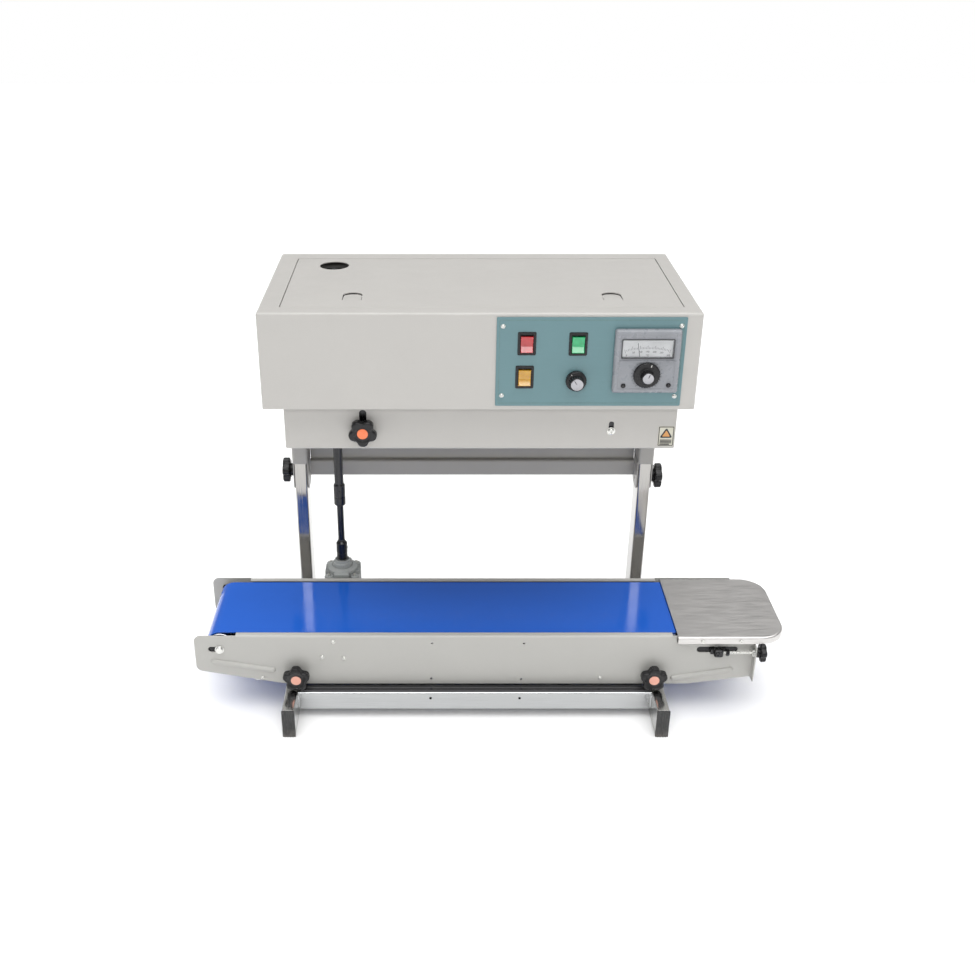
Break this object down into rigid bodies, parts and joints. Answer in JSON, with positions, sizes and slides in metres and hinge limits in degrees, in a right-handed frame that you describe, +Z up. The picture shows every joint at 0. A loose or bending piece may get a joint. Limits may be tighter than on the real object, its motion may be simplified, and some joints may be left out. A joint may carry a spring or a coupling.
{
  "type": "continuous band sealer",
  "caption": "Upright continuous band sealer: a sealing head with a control panel slides on posts above a short flat belt conveyor with an outfeed tray.",
  "frame": {"origin": "centre of the footprint, on the floor under the feet", "axes": "+X is the way the bags travel, +Y points to the back of the machine, +Z is up"},
  "size_m": [0.778, 0.356, 0.55],
  "materials": {
    "painted_sheet": "smooth warm grey enamel",
    "stainless": "polished stainless tube and sheet",
    "bright_steel": "machined steel",
    "black_steel": "black oxide",
    "black_plastic": "moulded, fine grain",
    "black_rubber": "ribbed",
    "blue_belt": "smooth glossy",
    "cast_alloy": "cast and painted grey",
    "aluminium": "machined",
    "copper_alloy": "machined",
    "coated_band": "coated glass cloth",
    "teal_panel": "printed satin panel",
    "grey_plastic": "moulded",
    "red_lens": "lit rocker",
    "green_lens": "lit rocker",
    "amber_lens": "lit rocker"
  },
  "bodies": {
    "stand": {"foot_tube_left": "stainless", "foot_tube_right": "stainless", "end_cap_front_left": "black_rubber", "end_cap_front_right": "black_rubber", "end_cap_rear_left": "black_rubber", "end_cap_rear_right": "black_rubber", "post_left": "stainless", "post_right": "stainless", "front_cross_tube": "stainless", "conveyor_front_plate": "painted_sheet", "conveyor_rear_plate": "painted_sheet", "slider_bed": "stainless", "conveyor_belt": "blue_belt", "extension_tray": "stainless", "gearbox_case": "cast_alloy"},
    "head": {"housing_shell": "painted_sheet", "top_lid": "painted_sheet", "rear_cover": "painted_sheet", "base_plate": "painted_sheet", "control_panel": "teal_panel", "temperature_controller": "grey_plastic", "post_sleeve_left": "painted_sheet", "post_sleeve_right": "painted_sheet", "rear_skirt": "painted_sheet", "drive_motor": "cast_alloy", "heating_block_front": "copper_alloy", "heating_block_rear": "copper_alloy", "cooling_block_front": "aluminium", "cooling_block_rear": "aluminium", "seal_band_front": "coated_band", "seal_band_rear": "coated_band", "front_bearing_bracket": "bright_steel", "power_inlet_gland": "black_plastic"},
    "front_cover": {"lower_front_cover": "painted_sheet"},
    "take_up": {"take_up_block_front": "bright_steel", "take_up_block_rear": "bright_steel"},
    "idle_wheel_rear": {"idle_wheel_rear": "aluminium", "drive_shaft_tube": "black_steel"},
    "clamp_knob_left": {"clamp_knob_left": "black_plastic"},
    "clamp_knob_right": {"clamp_knob_right": "black_plastic"},
    "cover_lock_knob": {"cover_lock_knob": "black_plastic"},
    "side_clamp_knob_left": {"side_clamp_knob_left": "black_plastic"},
    "side_clamp_knob_right": {"side_clamp_knob_right": "black_plastic"},
    "inlet_roller": {"inlet_roller": "bright_steel"},
    "drive_drum": {"drive_drum": "bright_steel"},
    "tension_roller": {"tension_roller": "bright_steel"},
    "tension_screw_front": {"tension_screw_front": "black_plastic"},
    "tension_screw_rear": {"tension_screw_rear": "black_plastic"},
    "drive_shaft_rod": {"drive_shaft_rod": "black_steel"},
    "drive_wheel_rear": {"drive_wheel_rear": "aluminium"},
    "drive_wheel_front": {"drive_wheel_front": "aluminium"},
    "idle_wheel_front": {"idle_wheel_front": "aluminium"},
    "pressure_wheel_front": {"pressure_wheel_front": "bright_steel"},
    "pressure_wheel_rear": {"pressure_wheel_rear": "bright_steel"},
    "rocker_red": {"rocker_red": "red_lens"},
    "rocker_green": {"rocker_green": "green_lens"},
    "rocker_amber": {"rocker_amber": "amber_lens"},
    "speed_knob": {"speed_knob": "black_plastic"},
    "temperature_dial": {"temperature_dial": "black_plastic"},
    "cooling_fan": {"cooling_fan": "black_plastic"}
  },
  "joints": [
    {"name": "head_height", "type": "slide", "parent": "stand", "child": "head", "axis": [0, 0, 1], "range_m": [-0.05, 0.06]},
    {"name": "front_cover_drop", "type": "slide", "parent": "head", "child": "front_cover", "axis": [0, 0, 1], "range_m": [-0.008, 0]},
    {"name": "clamp_knob_left_turn", "type": "hinge", "parent": "stand", "child": "clamp_knob_left", "pos_m": [-0.2555, -0.121, 0.06], "axis": [0, -1, 0], "range_deg": [0, 720]},
    {"name": "side_clamp_knob_left_turn", "type": "hinge", "parent": "head", "child": "side_clamp_knob_left", "pos_m": [-0.27405, 0.108, 0.252], "axis": [-1, 0, 0], "range_deg": [0, 720]},
    {"name": "clamp_knob_right_turn", "type": "hinge", "parent": "stand", "child": "clamp_knob_right", "pos_m": [0.2175, -0.121, 0.06], "axis": [0, -1, 0], "range_deg": [0, 720]},
    {"name": "side_clamp_knob_right_turn", "type": "hinge", "parent": "head", "child": "side_clamp_knob_right", "pos_m": [0.23605, 0.108, 0.243], "axis": [1, 0, 0], "range_deg": [0, 720]},
    {"name": "cover_lock_knob_turn", "type": "hinge", "parent": "head", "child": "cover_lock_knob", "pos_m": [-0.161, -0.0673, 0.392], "axis": [0, -1, 0], "range_deg": [0, 720]},
    {"name": "drive_wheel_rear_spin", "type": "hinge", "parent": "head", "child": "drive_wheel_rear", "pos_m": [0.163, 0.058, 0.39], "axis": [0, 0, 1], "continuous": true},
    {"name": "drive_wheel_front_spin", "type": "hinge", "parent": "head", "child": "drive_wheel_front", "pos_m": [0.163, -0.016, 0.39], "axis": [0, 0, 1], "continuous": true},
    {"name": "idle_wheel_rear_spin", "type": "hinge", "parent": "head", "child": "idle_wheel_rear", "pos_m": [-0.206, 0.058, 0.39], "axis": [0, 0, 1], "continuous": true},
    {"name": "idle_wheel_front_spin", "type": "hinge", "parent": "head", "child": "idle_wheel_front", "pos_m": [-0.206, -0.016, 0.39], "axis": [0, 0, 1], "continuous": true},
    {"name": "pressure_wheel_front_spin", "type": "hinge", "parent": "head", "child": "pressure_wheel_front", "pos_m": [0.108, 0.004, 0.39], "axis": [0, 0, 1], "continuous": true},
    {"name": "pressure_wheel_rear_spin", "type": "hinge", "parent": "head", "child": "pressure_wheel_rear", "pos_m": [0.108, 0.038, 0.39], "axis": [0, 0, 1], "continuous": true},
    {"name": "drive_shaft_spin", "type": "hinge", "parent": "stand", "child": "drive_shaft_rod", "pos_m": [-0.206, 0.058, 0.2], "axis": [0, 0, 1], "continuous": true},
    {"name": "drive_drum_spin", "type": "hinge", "parent": "stand", "child": "drive_drum", "pos_m": [-0.206, -0.045, 0.093], "axis": [0, 1, 0], "continuous": true},
    {"name": "inlet_roller_spin", "type": "hinge", "parent": "stand", "child": "inlet_roller", "pos_m": [-0.356, -0.045, 0.098], "axis": [0, 1, 0], "continuous": true},
    {"name": "take_up_slide", "type": "slide", "parent": "stand", "child": "take_up", "axis": [1, 0, 0], "range_m": [-0.008, 0]},
    {"name": "tension_roller_spin", "type": "hinge", "parent": "take_up", "child": "tension_roller", "pos_m": [0.298, -0.045, 0.098], "axis": [0, 1, 0], "continuous": true},
    {"name": "tension_screw_front_turn", "type": "hinge", "parent": "stand", "child": "tension_screw_front", "pos_m": [0.35, -0.126, 0.098], "axis": [1, 0, 0], "range_deg": [0, 2305]},
    {"name": "tension_screw_rear_turn", "type": "hinge", "parent": "stand", "child": "tension_screw_rear", "pos_m": [0.35, 0.036, 0.098], "axis": [1, 0, 0], "range_deg": [0, 2305]},
    {"name": "rocker_red_tilt", "type": "hinge", "parent": "head", "child": "rocker_red", "pos_m": [0.037, -0.0929, 0.513], "axis": [1, 0, 0], "range_deg": [-16, 0]},
    {"name": "rocker_green_tilt", "type": "hinge", "parent": "head", "child": "rocker_green", "pos_m": [0.0975, -0.0929, 0.5125], "axis": [1, 0, 0], "range_deg": [-16, 0]},
    {"name": "rocker_amber_tilt", "type": "hinge", "parent": "head", "child": "rocker_amber", "pos_m": [0.0355, -0.0929, 0.471], "axis": [1, 0, 0], "range_deg": [-16, 0]},
    {"name": "speed_knob_turn", "type": "hinge", "parent": "head", "child": "speed_knob", "pos_m": [0.097, -0.0923, 0.467], "axis": [0, -1, 0], "range_deg": [-140, 140]},
    {"name": "temperature_dial_turn", "type": "hinge", "parent": "head", "child": "temperature_dial", "pos_m": [0.1795, -0.0923, 0.477], "axis": [0, -1, 0], "range_deg": [-150, 150]},
    {"name": "cooling_fan_spin", "type": "hinge", "parent": "head", "child": "cooling_fan", "pos_m": [-0.2045, 0.109, 0.527], "axis": [0, 0, 1], "continuous": true}
  ],
  "couplings": [
    {"joint": "drive_wheel_front_spin", "follows": "drive_wheel_rear_spin", "ratio": -1},
    {"joint": "idle_wheel_rear_spin", "follows": "drive_wheel_rear_spin", "ratio": 1},
    {"joint": "idle_wheel_front_spin", "follows": "drive_wheel_rear_spin", "ratio": -1},
    {"joint": "pressure_wheel_front_spin", "follows": "drive_wheel_rear_spin", "ratio": -2.3533},
    {"joint": "pressure_wheel_rear_spin", "follows": "drive_wheel_rear_spin", "ratio": 2.3533},
    {"joint": "drive_shaft_spin", "follows": "drive_wheel_rear_spin", "ratio": 1},
    {"joint": "drive_drum_spin", "follows": "drive_wheel_rear_spin", "ratio": 2.6947},
    {"joint": "inlet_roller_spin", "follows": "drive_wheel_rear_spin", "ratio": 1.9611},
    {"joint": "tension_roller_spin", "follows": "drive_wheel_rear_spin", "ratio": 1.9611},
    {"joint": "tension_screw_front_turn", "follows": "take_up_slide", "rad_per_m": -5026.6},
    {"joint": "tension_screw_rear_turn", "follows": "take_up_slide", "rad_per_m": -5026.6}
  ]
}
